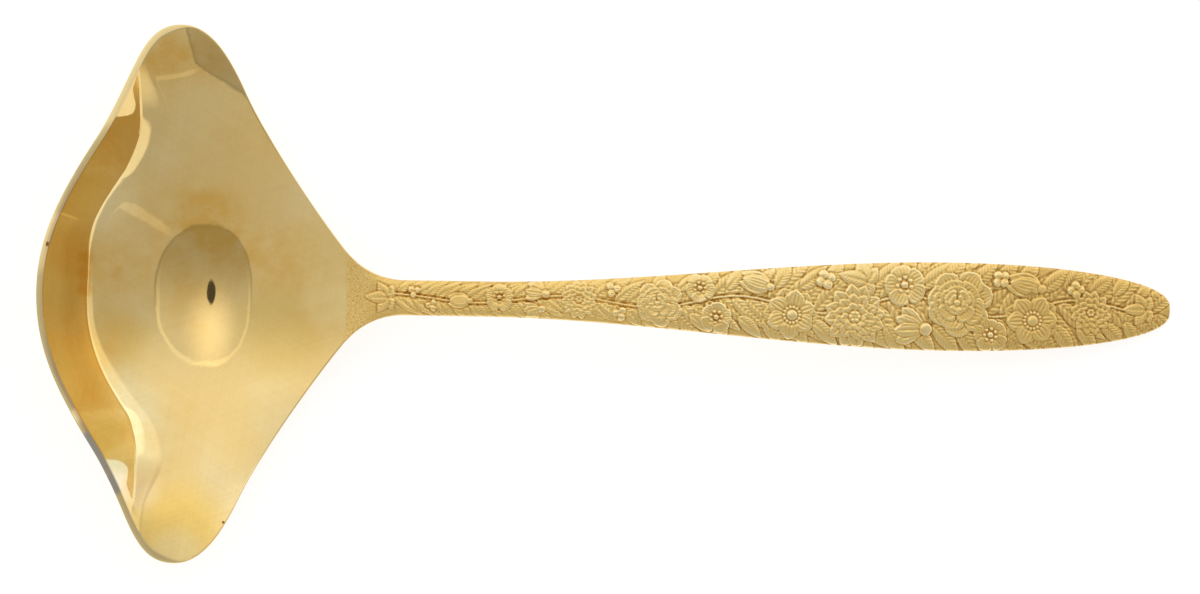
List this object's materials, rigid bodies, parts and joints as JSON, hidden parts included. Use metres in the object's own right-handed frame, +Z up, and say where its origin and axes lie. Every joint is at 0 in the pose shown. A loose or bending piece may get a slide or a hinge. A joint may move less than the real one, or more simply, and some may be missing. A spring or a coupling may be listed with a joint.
{
  "type": "gravy ladle",
  "caption": "Gold-coloured gravy ladle: a wide dished bowl with a pouring spout on either side and a slim arched handle that broadens to a rounded, flower-embossed end.",
  "frame": {"origin": "middle of the ladle's length and width, on the table that it lies on", "axes": "+X from the bowl along the handle to its end, +Y across the bowl towards one spout, +Z up from the table"},
  "size_m": [0.1771, 0.0842, 0.0154],
  "materials": {
    "polished_gold": "gold plate polished to a soft mirror, with fine wiping scratches and faint tarnish",
    "satin_gold": "satin gold plate over an embossed floral face, darker in the recesses",
    "braze_alloy": "thin gold-coloured brazing alloy, wiped smooth and plated over"
  },
  "bodies": {
    "root": {"bowl": "polished_gold", "handle": "satin_gold", "braze_seam": "braze_alloy"}
  },
  "joints": []
}
